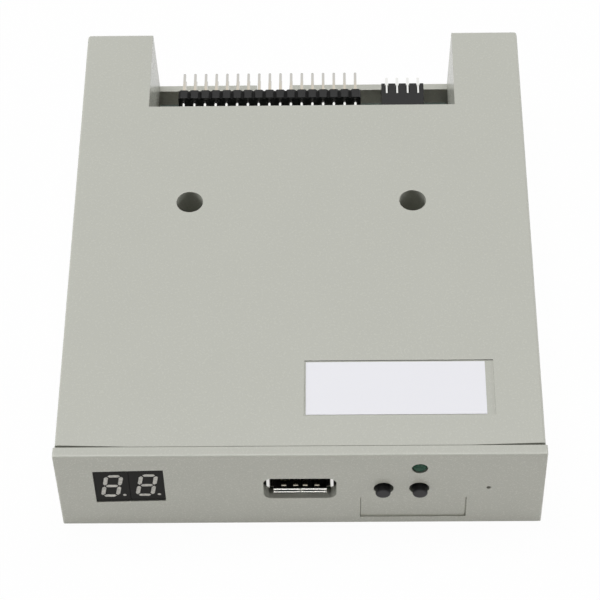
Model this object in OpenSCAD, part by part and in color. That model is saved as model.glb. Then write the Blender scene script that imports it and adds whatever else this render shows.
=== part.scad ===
// A floppy drive emulator in a 3.5 inch drive's case: a shallow tray, a cover
// with a cable bay between two rear ears, a front bezel, and a circuit board
// that carries the display, the socket, two push buttons and the connectors.
// Sizes named _d run back from the bezel's face, _x across and _z up from the
// underside, all in millimetres.

/* [Case] */
// Width of the front bezel
bezel_w = 101.6; // [99:0.1:106]
// Height of the bezel and of the closed case
case_h = 25.4; // [25:0.1:30]
// Depth from the bezel's face to the backs of the two rear ears
case_l = 120; // [116:0.5:150]
// Thickness of the bezel's plate
bezel_t = 2.4; // [1.8:0.1:3.2]
// Radius of the bezel's corners and front edges
bezel_r = 0.4; // [0.2:0.1:1.2]
// How far each shell stands in from the bezel's side
shell_inset = 0.35; // [0.2:0.05:1]
// Thickness of the shells' side and rear walls
wall = 1.8; // [1.4:0.1:2.4]
// Thickness of the tray's floor
floor_t = 1.8; // [1.2:0.1:2.2]
// Thickness of the cover's top
top_t = 2; // [1.4:0.1:2.6]
// Height of the tray's walls
tray_h = 7.7; // [7:0.1:9]
// Height of the sill at the tray's front
sill_h = 5; // [3:0.5:6]
// Radius of the shells' upright rear corners
corner_r = 1.3; // [0.7:0.1:1.7]
// Radius of the shells' long outer edges
edge_r = 0.6; // [0.2:0.1:1]
// Gap along the seam between two mouldings
seam = 0.15; // [0.05:0.05:0.3]
// Gap between the bezel and the middle of the cover's front edge
front_seam = 0.08; // [0.04:0.02:0.2]
// Extra gap at both ends of that edge, where the moulding has drawn back
seam_open = 0.45; // [0.1:0.05:0.6]
// Length over which the gap opens at each end
seam_taper = 16; // [10:1:40]

/* [Rear bay] */
// Width of the cable bay between the ears
bay_w = 70.2; // [69.6:0.1:76]
// Depth of the cable bay from the backs of the ears
bay_d = 23; // [21:0.1:25]
// How far each side wall of the bay leans in down to the tray, as moulding draft
bay_draft = 0.5; // [0:0.05:0.8]
// Clearance between the board and the bay's front wall above it
bay_foot = 1.4; // [0.8:0.1:3]
// Width of the key notch in the tray's rear wall
key_w = 7.8; // [5:0.1:12]
// Depth of the key notch
key_h = 3; // [1:0.1:5]
// Place of the key notch across the wall
key_x = -7.25; // [-20:0.05:10]

/* [Shell fastening] */
// Distance of each screw well in the cover from the middle
well_x = 24.75; // [20:0.05:32]
// Distance of the screw wells from the backs of the ears
well_back = 51.8; // [48:0.1:56]
// Bore of a screw well
well_bore = 5.9; // [5.6:0.1:7]
// Thickness of a well's wall
well_wall = 1.5; // [1:0.1:2]
// Thickness of the seat at a well's foot
seat_t = 1.8; // [1.4:0.1:2.2]
// Thickness of the locating lip inside the cover's sides
lip_t = 0.8; // [0.6:0.1:1.2]
// How far the lip reaches into the tray
lip_h = 1.2; // [0.6:0.1:2]
// Distance of the lip's ends from the side mounting holes
lip_end = 10; // [8:1:16]
// Width of a snap hook under the lip
hook_w = 8; // [5:0.5:12]
// Thickness of a snap hook
hook_t = 1; // [0.9:0.1:1.4]
// How far a snap hook reaches into the tray
hook_reach = 4; // [3:0.1:4.4]
// How far a hook's barb stands out
hook_barb = 0.6; // [0.4:0.05:0.8]
// Height of a hook's barb
hook_barb_h = 1.5; // [1:0.1:2]
// Clearance of the lip, the hooks and the bezel's clips
clip_gap = 0.15; // [0.1:0.05:0.3]
// Length of a bezel clip
clip_l = 8; // [6:0.5:12]
// Thickness of a bezel clip
clip_t = 1.2; // [0.8:0.1:1.8]
// Height of a bezel clip along its barb
clip_w = 4; // [2.5:0.1:4.4]
// Height of a clip's middle above the underside
clip_z = 4.6; // [4.2:0.1:4.8]
// How far the barb stands out
barb = 1.2; // [0.6:0.1:1.3]
// Length of the barb
barb_l = 2.4; // [1.5:0.1:3.5]
// Width of each tongue that the bezel tucks under the cover
tongue_w = 12; // [6:1:16]
// Length of the tongue
tongue_l = 5; // [3:0.5:8]
// Thickness of the tongue
tongue_t = 1.2; // [0.8:0.1:1.6]
// Distance of each tongue from the inside of the side wall
tongue_edge = 4.55; // [2:0.05:8]

/* [Mounting holes] */
// Diameter of a mounting hole, tapped by its screw
mount_d = 2.5; // [2:0.1:3]
// Spacing of the mounting holes along the case
mount_pitch_l = 70; // [50:1:72]
// Distance of the rear side holes from the backs of the ears
side_mount_back = 24; // [22:0.5:27]
// Height of the side holes above the underside
side_mount_z = 5; // [4.5:0.1:5.2]
// Depth of a side hole
side_mount_l = 6; // [4:0.5:7]
// Distance of the underside holes from the bezel's sides
mount_edge = 4.8; // [4.4:0.1:7]
// Distance of the rear underside holes from the backs of the ears
low_mount_back = 14; // [10:0.5:16]
// Depth of an underside hole
low_mount_l = 5; // [3.5:0.5:5.2]
// Material left round a mounting hole
mount_wall = 2.1; // [1.5:0.1:2.4]
// Material left behind a blind hole
mount_end = 0.9; // [0.6:0.1:1.2]

/* [Bezel openings] */
// Place of the display's middle across the bezel
display_x = -35.65; // [-37:0.05:-34]
// Height of the display's middle as a share of the case's height
display_rise = 0.567; // [0.555:0.001:0.58]
// Lean of the display's row in degrees, its right end higher
display_lean = 1.8; // [0:0.1:2]
// Clearance round the display
display_gap = 0.08; // [0.04:0.01:0.2]
// Place of the socket's middle across the bezel
usb_x = -0.15; // [-6:0.05:4]
// Height of the socket's middle
usb_z = 13.5; // [13.2:0.05:15]
// Width of the socket's opening
usb_hole_w = 15.2; // [14.6:0.1:17]
// Height of the socket's opening
usb_hole_h = 7.3; // [7.2:0.1:9]
// How far the middle of the opening lies below the socket's middle
usb_hole_drop = 0.25; // [0.15:0.05:0.3]
// Corner radius of the socket's opening
usb_hole_r = 1.8; // [0.5:0.1:2.2]
// How far the opening's sill rises from the bezel's face to the socket
usb_rise = 0.27; // [0.1:0.01:0.3]
// Clearance between the sill and the rolled edge of the socket's flange
usb_sill_gap = 0.15; // [0.1:0.01:0.3]
// Place of the left button's hole across the bezel
button_x = 17.3; // [16:0.05:19]
// Spacing of the two holes
button_pitch = 7.4; // [7.3:0.05:9]
// How far each button sits outside the middle of its hole
button_off = 0.15; // [0:0.05:0.3]
// Height of the buttons
button_z = 13.15; // [13:0.05:14]
// Diameter of a button's hole
button_hole = 4.1; // [3.6:0.1:4.8]
// Diameter of the lamp's hole
lamp_hole = 3.3; // [3.1:0.05:3.8]
// Height of the lamp between the buttons and the bezel's top, as a share of that distance
lamp_rise = 0.592; // [0.55:0.001:0.61]
// Diameter of the pinhole at the right
pin_hole = 0.9; // [0.6:0.1:1.5]
// Place of the pinhole across the bezel
pin_hole_x = 39.15; // [36:0.05:44]
// Height of the pinhole
pin_hole_z = 13.25; // [8:0.05:18]
// Width of the shallow recess under the buttons
recess_w = 22.3; // [10:0.1:26]
// Height of the shallow recess
recess_h = 7.3; // [4:0.1:8]
// Place of the recess across the bezel
recess_x = 23.55; // [20:0.05:26]
// Height of the recess's middle
recess_z = 5.95; // [4.5:0.05:7]
// Depth of the recess
recess_t = 0.35; // [0.1:0.05:0.8]
// Width of the groove at the recess's right end, twice that of the left one
groove_w = 0.2; // [0.1:0.05:0.4]
// Depth of both grooves below the recess's floor
groove_t = 0.4; // [0.2:0.05:0.8]

/* [Display] */
// Width of one digit module
digit_w = 7.2; // [7:0.05:7.5]
// Height of a digit module
digit_h = 10.95; // [10:0.05:11.5]
// Depth of a digit module
digit_t = 6.2; // [5:0.1:6.4]
// How far the modules' faces lie behind the bezel's face
digit_back = 0.2; // [0:0.05:0.6]
// Gap between the two modules
digit_split = 0.06; // [0.02:0.02:0.2]
// Rise from a digit's middle bar to its top bar
bar_rise = 3.6; // [3:0.05:4]
// Distance between a digit's left and right bars
bar_span = 3.1; // [2.5:0.05:3.5]
// Width of a bar
bar_w = 0.85; // [0.6:0.05:1]
// Gap left at each joint of two bars
bar_gap = 0.46; // [0.1:0.02:0.5]
// Depth of the bars in the module's face
bar_t = 0.3; // [0.2:0.05:0.6]
// How far the bars lie below the module's face
bar_sink = 0.02; // [0.01:0.01:0.1]
// Slant of the digits in degrees
slant = 10; // [0:0.5:12]
// Diameter of the decimal point
dot_d = 0.75; // [0.6:0.05:1.2]
// Place of the decimal point to the right of the digit's middle
dot_x = 2.4; // [2.2:0.05:2.6]
// How far the decimal point sits above the bottom bar's middle
dot_rise = 0.2; // [0:0.05:0.4]
// Thickness of the display's upright board
panel_t = 1.2; // [0.8:0.1:1.6]
// Thickness of a module's pin
digit_pin = 0.45; // [0.3:0.05:0.6]
// Spacing of a module's pins along its row
digit_pitch = 1.27; // [1.2:0.01:1.3]
// Distance of each pin row from the module's middle
digit_row = 4.4; // [4.2:0.05:4.6]
// How far the pins stand out behind the upright board
digit_tail = 1.4; // [0.8:0.1:1.8]
// Number of pins between the two boards
link_count = 5; // [3:1:5]
// How far those pins lie below the display's middle
link_drop = 2.1; // [1.8:0.1:2.3]

/* [Push buttons] */
// Diameter of a button
button_d = 3.15; // [2.6:0.05:3.4]
// How far a button stands out of the bezel
button_proud = 1.5; // [0.8:0.1:3]
// Travel of a button
button_travel = 0.25; // [0.15:0.05:0.35]
// Distance from the bezel's face to a switch's metal frame
switch_d = 5.7; // [5.4:0.1:7]
// Width and height of a switch
switch_w = 6; // [5.6:0.1:6.2]
// Depth of a switch's base
switch_t = 3.4; // [3:0.1:4.5]
// Thickness of the metal frame
frame_t = 0.3; // [0.2:0.05:0.35]
// Depth of the cup that holds the dome
cup_t = 2; // [1.9:0.05:2.2]
// Diameter of the cup
cup_d = 5; // [4.8:0.1:5.2]
// Radial clearance of the button in the frame and of the collar in the cup
button_gap = 0.12; // [0.05:0.01:0.2]
// Diameter of the collar that keeps the button in
collar_d = 4.5; // [4.2:0.1:4.6]
// Thickness of the collar
collar_t = 0.8; // [0.6:0.05:0.9]
// Height of the snap dome
dome_h = 0.6; // [0.45:0.05:0.7]
// Diameter of the snap dome
dome_d = 4.7; // [4:0.1:4.75]
// Thickness of the snap dome
dome_t = 0.1; // [0.06:0.02:0.15]
// Play between the button, the frame and the dome at rest
button_play = 0.04; // [0.02:0.01:0.08]

/* [Status lamp] */
// Diameter of the lamp
lamp_d = 3.1; // [2.6:0.1:3.1]
// How far the lamp's flat end lies behind the bezel's face
lamp_back = 0.15; // [0:0.05:1.2]
// Chamfer round the lamp's flat end
lamp_edge = 0.3; // [0.1:0.05:0.6]
// Length of the lamp in front of its flange
lamp_l = 4.6; // [4:0.1:5]
// Diameter of the lamp's flange
flange_d = 3.8; // [3.5:0.1:4]
// Thickness of the flange
flange_t = 1; // [0.6:0.1:1.2]
// Thickness of a lamp lead
lead_t = 0.5; // [0.4:0.05:0.6]
// Spacing of the leads
lead_pitch = 2.54; // [2.3:0.01:2.6]
// Distance from the bezel's face to where the leads turn down
lead_d = 11.6; // [11:0.1:13]

/* [USB socket] */
// Width of the socket's shell
usb_w = 13.1; // [12.8:0.1:13.4]
// Height of the socket's shell
usb_h = 5.7; // [5.5:0.05:5.9]
// Thickness of the shell's sheet
usb_t = 0.3; // [0.25:0.05:0.4]
// Distance from the bezel's face to the socket's mouth
usb_d = 1.4; // [0.8:0.1:1.8]
// Length of the shell
usb_l = 13; // [12.5:0.1:14]
// Width of the flanges at the sides and top of the mouth
usb_flange = 0.45; // [0.3:0.05:0.5]
// Width of the flange under the mouth
usb_lip = 0.9; // [0.6:0.05:0.95]
// Radius of the rolled edge of that flange
usb_roll = 0.18; // [0.1:0.02:0.3]
// Width of the webs between the slots in that flange
usb_web = 0.5; // [0.3:0.05:0.8]
// Radius of the bends between the shell and its flanges
usb_bend = 0.25; // [0.2:0.05:0.4]
// Size of the relief cuts between the flanges
usb_cut = 0.8; // [0.5:0.05:1]
// Width of the open joint along the shell's underside
usb_split = 0.2; // [0.1:0.05:0.4]
// Width of the plastic tongue
usb_tongue_w = 11.1; // [10.6:0.1:11.4]
// Thickness of the plastic tongue
usb_tongue_t = 1.84; // [1.6:0.02:2]
// Gap above the tongue
usb_tongue_gap = 0.55; // [0.4:0.05:0.7]
// Distance of the tongue's tip behind the mouth
usb_tongue_d = 1; // [0.6:0.1:2]
// Depth of the plastic block that fills the rear of the shell
usb_block = 4.2; // [4:0.1:4.6]
// Width of a contact
usb_contact_w = 1; // [0.8:0.05:1]
// Thickness of a contact
usb_contact_t = 0.2; // [0.15:0.05:0.3]
// Radius of the bow near a contact's front end
usb_bow = 0.35; // [0.3:0.05:0.8]
// Distance of the bows behind the mouth
usb_bow_d = 2.8; // [2.7:0.1:4]
// Clearance between the plastic block and the shell
usb_fit = 0.04; // [0.02:0.01:0.08]

/* [Label] */
// Width of the label's recess in the cover
pocket_w = 39.7; // [30:0.1:42]
// Length of the label's recess
pocket_l = 14.2; // [10:0.1:18]
// Depth of the recess
pocket_t = 0.3; // [0.15:0.05:0.5]
// Place of the recess's middle across the cover
pocket_x = 20.7; // [18:0.05:24]
// Distance of the recess's middle from the bezel's face
pocket_d = 17.1; // [13:0.1:24]
// Margin of the label in its recess, along and across
label_edge = 0.35; // [0.1:0.05:1]
// Extra margin at the label's right end
label_end = 1.4; // [0:0.1:3]
// Thickness of the label
label_t = 0.12; // [0.08:0.01:0.15]

/* [Board] */
// Height of the main board's upper face
board_z = 9.7; // [9.5:0.1:9.9]
// Thickness of the main board
board_t = 1.6; // [1.2:0.1:1.7]
// Distance from the bezel's face to the board's front edge
board_d = 5; // [4.6:0.1:5.4]
// Clearance between the board and the walls beside it
board_gap = 2.6; // [2:0.1:3.5]
// Clearance between the board's rear tongue and the bay's walls
tab_gap = 0.5; // [0.2:0.1:1]
// How far leads and pins stand out under the board
tail = 1.3; // [0.8:0.1:2]
// Clearance round a lead in its hole
hole_gap = 0.15; // [0.08:0.01:0.2]
// Diameter of the posts that take screws
post_d = 6.4; // [5.4:0.1:7]
// Diameter of the posts that only locate the board
peg_post_d = 5; // [4:0.1:6]
// Diameter of a locating peg
peg_d = 2.8; // [2:0.1:3]
// How far a peg stands above the board
peg_h = 0.8; // [0.4:0.1:1.5]
// Distance of each locating peg from the middle
peg_x = 31; // [29:0.5:32]
// Distance of the locating pegs from the backs of the ears
peg_back = 20.5; // [19.5:0.1:21]
// Distance of each front screw from the board's side
board_screw_edge = 5.95; // [5:0.05:9]
// Distance of the front screws from the bezel's face
board_screw_d = 24; // [21:0.5:25]

/* [Screws] */
// Diameter of a screw's shank
screw_d = 2.5; // [2:0.1:2.8]
// Radial clearance of a shank in its pilot hole
screw_fit = 0.02; // [0.01:0.01:0.05]
// Clearance hole of a screw
screw_pass = 3.2; // [3:0.1:3.4]
// Diameter of a screw's head
head_d = 5.2; // [4.6:0.1:5.4]
// Height of a screw's head
head_h = 1.9; // [1.4:0.1:2.4]
// Length of a board screw under its head
screw_l = 6.4; // [5:0.2:7]
// Length of a case screw under its head
case_screw_l = 8.4; // [7:0.2:9]
// Depth of a pilot hole
pilot_l = 6; // [5.4:0.1:6]
// Width of the cross in a screw's head
cross_w = 0.7; // [0.5:0.1:1]

/* [Ribbon header] */
// Pitch of the ribbon header and of the jumper block
pitch = 2.54; // [2.5:0.01:2.56]
// Number of pins in a row of the ribbon header
ribbon_count = 17; // [13:1:17]
// Place of the ribbon header's middle across the board
ribbon_x = -7.87; // [-9:0.01:-6]
// Distance of the header's rear face from the backs of the ears
ribbon_back = 8.05; // [8:0.05:9]
// How far its pins stand out behind it
ribbon_reach = 6.25; // [5:0.05:6.6]
// Thickness of a square pin
pin_t = 0.64; // [0.5:0.02:0.7]
// Chamfer between two cells of a header
cell_cut = 0.5; // [0.2:0.05:0.7]
// Distance from the header's front face to its first row of legs
leg_d = 1.5; // [1.3:0.1:1.7]

/* [Power header] */
// Place of the power header's middle across the board
power_x = 23.75; // [22:0.05:25]
// Number of power pins
power_count = 4; // [3:1:4]
// Pitch of the power pins
power_pitch = 2.5; // [2.4:0.01:2.54]
// Width of the power header
power_w = 10.05; // [9.6:0.05:11]
// Distance of its rear face from the backs of the ears
power_back = 2.8; // [2.6:0.1:4]
// Depth of the power header
power_l = 6.9; // [6:0.1:7.4]
// Height of its top above the board
power_h = 1.25; // [1.1:0.05:1.6]
// How far it hangs below the board's upper face behind the board
power_drop = 1.1; // [0.6:0.1:1.4]
// Height of the pins above the board
power_pin_z = 0.65; // [0.5:0.05:0.8]
// Length of the open slots round the pins
slot_l = 3.1; // [2:0.1:4]
// Width of a slot
slot_w = 0.8; // [0.7:0.05:1.4]
// How far the pins stand out behind the header
power_reach = 2.2; // [1:0.1:2.4]

/* [Board components] */
// Size of the processor's square body
chip_w = 10; // [7:0.5:12]
// Height of a chip's body
chip_h = 1.4; // [1:0.1:1.8]
// Gap under a chip's body
chip_lift = 0.1; // [0.05:0.05:0.2]
// Place of the processor across the board
chip_x = -4; // [-8:0.5:4]
// Distance of the processor from the bezel's face
chip_d = 44; // [38:0.5:48]
// Leads on each side of the processor
chip_leads_n = 16; // [8:1:18]
// Pitch of the processor's leads
chip_pitch = 0.5; // [0.4:0.05:0.5]
// Width of a driver chip
driver_w = 8.6; // [8:0.1:10]
// Length of a driver chip
driver_l = 3.9; // [3.5:0.1:4.4]
// Number of driver chips
driver_count = 3; // [1:1:3]
// Spacing of the driver chips
driver_pitch = 14; // [12:0.5:15]
// Distance of the driver chips from the bay's front wall
driver_gap = 9.4; // [8.4:0.1:13]
// Height of the regulator
regulator_h = 1.6; // [1.2:0.1:2]
// Place of the regulator across the board
regulator_x = 33; // [28:0.5:36]
// Distance of the regulator from the bay's front wall
regulator_gap = 11.4; // [9.4:0.1:14]
// Reach of a chip lead from its body
gull_l = 1; // [0.8:0.1:1.2]
// Thickness of a chip lead
gull_t = 0.15; // [0.1:0.01:0.2]
// Length of the crystal
crystal_l = 11; // [8:0.5:12]
// Width of the crystal
crystal_w = 4.6; // [4:0.1:5]
// Height of the crystal
crystal_h = 3.5; // [2.5:0.1:5]
// Place of the crystal across the board
crystal_x = -21; // [-26:0.5:-19]
// Diameter of a capacitor
cap_d = 6.3; // [5:0.1:8]
// Height of a capacitor
cap_h = 7; // [5:0.5:9]
// Place of the capacitors across the board
cap_x = 37; // [35:0.5:38]
// Spacing of the two capacitors
cap_pitch = 11; // [9:0.5:12]
// Length of a chip resistor
res_l = 2; // [1.6:0.1:2.4]
// Width of a chip resistor
res_w = 1.25; // [0.8:0.05:1.6]
// Height of a chip resistor
res_h = 0.5; // [0.3:0.05:0.8]
// Number of resistors in the row in front of the driver chips
res_count = 8; // [4:1:9]
// Spacing of the resistors
res_pitch = 2.8; // [2.6:0.1:3.4]
// Number of pin pairs in the jumper block
jumper_count = 5; // [3:1:6]
// Place of the jumper block across the board
jumper_x = 21; // [18:0.5:22]
// Distance of the jumper block from the backs of the ears
jumper_back = 17.5; // [17:0.1:19]
// Height of the jumper pins above the board
jumper_h = 6.3; // [5.5:0.1:6.5]
// Height of the jumper cap
jumper_cap_h = 4.2; // [3.6:0.1:5]
// Gap between the jumper cap and its pins
jumper_fit = 0.06; // [0.03:0.01:0.1]

/* [Hidden] */
$fn = 48;
// overlap that lets a cut run clear through a face
eps = 0.5;

// the origin lies under the middle of the whole part, proud buttons included
face_y = (button_proud - case_l) / 2;
shell_w = bezel_w - 2 * shell_inset;
shell_l = case_l - bezel_t;
inner_w = shell_w - 2 * wall;
bay_front = case_l - bay_d;
well_d = case_l - well_back;
side_mount_d = case_l - side_mount_back - mount_pitch_l;
low_mount_d = case_l - low_mount_back - mount_pitch_l;
mount_pitch_w = bezel_w - 2 * mount_edge;
lip_d = side_mount_d + mount_pitch_l / 2;
lip_l = mount_pitch_l - 2 * lip_end;
hook_z = tray_h - hook_reach;
tongue_x = inner_w / 2 - tongue_edge - tongue_w / 2;
display_z = display_rise * case_h;
lamp_z = button_z + lamp_rise * (case_h - button_z);
board_foot = board_z - board_t;
board_w = inner_w - 2 * board_gap;
board_screw_x = board_w / 2 - board_screw_edge;
board_step = bay_front - wall - 2 * tab_gap;
board_back = case_l - ribbon_back;
tab_w = 2 * (bay_half(board_foot) - tab_gap);
window_w = 2 * digit_w + digit_split + 2 * display_gap;
window_h = digit_h + 2 * (display_gap + lean(digit_w / 2));
panel_d = digit_back + digit_t;
board_notch_x = display_x + window_w / 2 + 1.5 * board_gap;
board_notch_d = panel_d + panel_t + digit_tail + board_t;
link_turn = board_notch_d + 2 * pin_t + leg_d;
link_z = display_z - link_drop;
lamp_x = button_x + button_pitch;
base_d = switch_d + frame_t;
cup_floor = base_d + cup_t;
nub_end = cup_floor - dome_h - button_play;
collar_front = base_d + button_play;
ribbon_front = case_l - ribbon_back - pitch;
ribbon_rows = [board_z + pitch / 2, board_z + 3 * pitch / 2];
power_rear = case_l - power_back;
power_leg = power_rear - power_l - leg_d;
power_z = board_z + power_pin_z;
usb_end = usb_d + usb_l;
usb_sill = usb_d + usb_t / 6 - usb_roll - usb_sill_gap;
usb_in_w = usb_w - 2 * usb_t;
usb_in_h = usb_h - 2 * usb_t;
usb_tongue_z = usb_z + usb_in_h / 2 - usb_tongue_gap - usb_tongue_t;
usb_block_d = usb_end - usb_t - usb_block;
usb_leg = usb_end - usb_t - usb_block / 3;
usb_tab_d = usb_block_d - 1;
usb_contact_x = [-3.5, -1, 1, 3.5];
// turn, distance of the inner face, length and width of each of the socket's flanges
usb_edges = [[0, usb_in_h / 2, usb_w - 2.5 * usb_cut, usb_lip],
    [90, usb_in_w / 2, usb_h - 2 * usb_cut, usb_flange],
    [180, usb_in_h / 2, usb_w - 2.5 * usb_cut, usb_flange],
    [270, usb_in_w / 2, usb_h - 2 * usb_cut, usb_flange]];
spring_x = 3.15;
crystal_d = chip_d;
cap_first_d = well_d - 2 * cap_pitch;
jumper_d = case_l - jumper_back;
driver_d = bay_front - wall - driver_gap;
regulator_d = bay_front - wall - regulator_gap;
res_d = driver_d - driver_l - 2 * gull_l;

grey = "#bbbbb2";
black = "#262627";
steel = "#c9c9c6";
gold = "#d8c9a0";
board_green = "#24422f";

function at(d) = face_y + d;
function holes_x() = [button_x, button_x + button_pitch];
function buttons_x() = [button_x - button_off, button_x + button_pitch + button_off];
function screws_at() = [[well_x, well_d], [board_screw_x, board_screw_d]];
function lean(x) = x * tan(display_lean);
function bay_half(z) = bay_w / 2 - bay_draft * (case_h - z) / (case_h - tray_h);
function hooks_d() = [lip_d - lip_l / 4, lip_d + lip_l / 4];
function row_x(n, p) = [for (i = [0 : n - 1]) (i - (n - 1) / 2) * p];

// Rectangle with round corners, centred
module round_rect(w, h, r) {
    square([w, h - 2 * r], center = true);
    square([w - 2 * r, h], center = true);
    for (x = [-1, 1], y = [-1, 1])
        translate([x * (w / 2 - r), y * (h / 2 - r)]) circle(r = r);
}

// Stands a flat outline up in the front view and runs it back from one depth to another
module run_back(from_d, to_d)
    translate([0, at(to_d), 0]) rotate([90, 0, 0]) linear_extrude(to_d - from_d) children();

// Stands a flat outline, drawn as depth and height, up in the side view
module run_across(w)
    translate([0, face_y, 0]) rotate([90, 0, 90]) linear_extrude(w, center = true) children();

// A box from a low corner to a high corner, with depths measured from the bezel's face
module block(x, d, z)
    translate([x[0], at(d[0]), z[0]]) cube([x[1] - x[0], d[1] - d[0], z[1] - z[0]]);

// The closed case behind the bezel, with its round rear corners and long edges
module shell_block(low, high) {
    ahead = corner_r + edge_r;
    middle = bezel_t + (shell_l - ahead) / 2;
    intersection() {
        translate([0, at(middle), low])
            linear_extrude(high - low) round_rect(shell_w, shell_l + ahead, corner_r);
        translate([0, 0, case_h / 2]) run_back(bezel_t, case_l + eps) round_rect(shell_w, case_h, edge_r);
        translate([0, middle, case_h / 2]) run_across(bezel_w) round_rect(shell_l + ahead, case_h, edge_r);
    }
}

// A lead that runs back or forward from its tip, turns down and ends at its foot
module bent_lead(tip_d, turn_d, z, foot_z, t, w, bevel) {
    s = tip_d > turn_d ? 1 : -1;
    run_across(w) polygon([
        [tip_d, z + t / 2 - bevel], [tip_d, z - t / 2 + bevel], [tip_d - s * bevel, z - t / 2],
        [turn_d + s * t / 2, z - t / 2], [turn_d + s * t / 2, foot_z], [turn_d - s * t / 2, foot_z],
        [turn_d - s * t / 2, z + t / 4], [turn_d - s * t / 4, z + t / 2], [tip_d - s * bevel, z + t / 2]]);
}

// A hole through the main board for one lead
module board_hole(x, d, w)
    translate([x, at(d), board_foot - eps]) cylinder(d = w + 2 * hole_gap, h = board_t + 2 * eps);

// A screw whose head sits at the given height
module screw(z, l) difference() {
    translate([0, 0, z - l]) union() {
        cylinder(d = screw_d, h = l + eps);
        translate([0, 0, l]) cylinder(d = head_d, h = head_h);
    }
    for (a = [0, 90]) rotate([0, 0, a])
        translate([0, 0, z + head_h]) cube([0.6 * head_d, cross_w, head_h], center = true);
}

module base_tray() color(grey) difference() {
    union() {
        difference() {
            shell_block(0, tray_h);
            block([-inner_w / 2, inner_w / 2], [bezel_t + wall, case_l - wall], [floor_t, tray_h + eps]);
            block([-inner_w / 2, inner_w / 2], [bezel_t - eps, bezel_t + wall + eps], [sill_h, tray_h + eps]);
        }
        for (s = [-1, 1]) {
            for (d = [side_mount_d, side_mount_d + mount_pitch_l]) side_boss(s, d);
            for (d = [low_mount_d, low_mount_d + mount_pitch_l])
                translate([s * mount_pitch_w / 2, at(d), floor_t / 2])
                    cylinder(d = mount_d + 2 * mount_wall, h = low_mount_l + mount_end - floor_t / 2);
            for (p = screws_at()) translate([s * p[0], at(p[1]), floor_t / 2])
                cylinder(d = post_d, h = board_foot - floor_t / 2);
            translate([s * peg_x, at(case_l - peg_back), floor_t / 2]) {
                cylinder(d = peg_post_d, h = board_foot - floor_t / 2);
                cylinder(d = peg_d, h = board_z + peg_h - floor_t / 2);
            }
        }
    }
    for (s = [-1, 1]) {
        for (d = [side_mount_d, side_mount_d + mount_pitch_l])
            translate([s * (shell_w / 2 - side_mount_l), at(d), side_mount_z])
                rotate([0, s * 90, 0]) cylinder(d = mount_d, h = side_mount_l + eps);
        for (d = [low_mount_d, low_mount_d + mount_pitch_l])
            translate([s * mount_pitch_w / 2, at(d), -eps]) cylinder(d = mount_d, h = low_mount_l + eps);
        for (p = screws_at())
            translate([s * p[0], at(p[1]), board_foot - pilot_l])
                cylinder(d = screw_d + 2 * screw_fit, h = pilot_l + eps);
        clip_window(s);
        for (d = hooks_d()) translate([s * (inner_w + hook_barb - eps) / 2, at(d), hook_z + hook_barb_h / 2])
            cube([hook_barb + eps, hook_w + 2 * clip_gap, hook_barb_h + 2 * clip_gap], center = true);
    }
    block([key_x - key_w / 2, key_x + key_w / 2], [case_l - wall - eps, case_l + eps],
        [tray_h - key_h, tray_h + eps]);
}

// Block on the tray's wall that takes a side mounting screw
module side_boss(s, d) {
    reach = side_mount_l + mount_end;
    high = side_mount_z + mount_d / 2 + mount_end;
    translate([s * (shell_w - reach - wall / 2) / 2, at(d), high / 2])
        cube([reach - wall / 2, mount_d + 2 * mount_wall, high], center = true);
}

// Gate in the tray's sill and window in its wall for one bezel clip
module clip_window(s) {
    half = clip_w / 2 + clip_gap;
    outer = inner_w / 2;
    gate = clip_t + 2 * clip_gap;
    translate([s * (outer - gate / 2), at(bezel_t + wall / 2), clip_z])
        cube([gate, wall + 2 * eps, 2 * half], center = true);
    translate([s * (outer + wall / 2), at(bezel_t + clip_l - barb_l / 2), clip_z])
        cube([wall + 2 * eps, barb_l + 2 * clip_gap, 2 * half], center = true);
}

module top_cover() color(grey) difference() {
    union() {
        difference() {
            intersection() {
                shell_block(tray_h + seam, case_h);
                cover_plan();
            }
            block([-inner_w / 2, inner_w / 2], [0, bay_front - wall], [0, case_h - top_t]);
            for (s = [-1, 1]) ear_hollow(s);
        }
        for (s = [-1, 1]) mirror([s > 0 ? 0 : 1, 0, 0]) {
            side_lip();
            for (d = hooks_d()) snap_hook(d);
            translate([well_x, at(well_d), board_z])
                cylinder(d = well_bore + 2 * well_wall, h = case_h - top_t / 2 - board_z);
        }
    }
    run_back(bay_front, case_l + eps) bay_outline(case_h + eps);
    run_back(bay_front - wall - eps, bay_front + eps) bay_outline(board_z + bay_foot);
    for (s = [-1, 1]) translate([s * well_x, at(well_d), board_z]) {
        translate([0, 0, seat_t]) cylinder(d = well_bore, h = case_h);
        translate([0, 0, -eps]) cylinder(d = screw_pass, h = seat_t + 2 * eps);
    }
    translate([pocket_x, at(pocket_d), case_h - pocket_t]) linear_extrude(pocket_t + eps)
        square([pocket_w, pocket_l], center = true);
}

// Plan of the cover, whose front edge leaves a gap that opens toward both ends
module cover_plan() {
    half = shell_w / 2 + eps;
    front = bezel_t + front_seam;
    translate([0, face_y, 0]) linear_extrude(case_h + eps) polygon([
        [-half, front + seam_open], [seam_taper - half, front], [half - seam_taper, front],
        [half, front + seam_open], [half, case_l + eps], [-half, case_l + eps]]);
}

// Rear view of the cable bay up to a given height
module bay_outline(high) {
    foot = bay_half(0);
    head = bay_half(high);
    polygon([[-foot, 0], [foot, 0], [head, high], [-head, high]]);
}

// The hollow inside one rear ear
module ear_hollow(s) {
    near = bay_w / 2 + wall;
    span = inner_w / 2 - near;
    translate([s > 0 ? near : -near - span, at(bay_front - wall - eps), 0])
        cube([span, bay_d + eps, case_h - top_t]);
}

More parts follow.
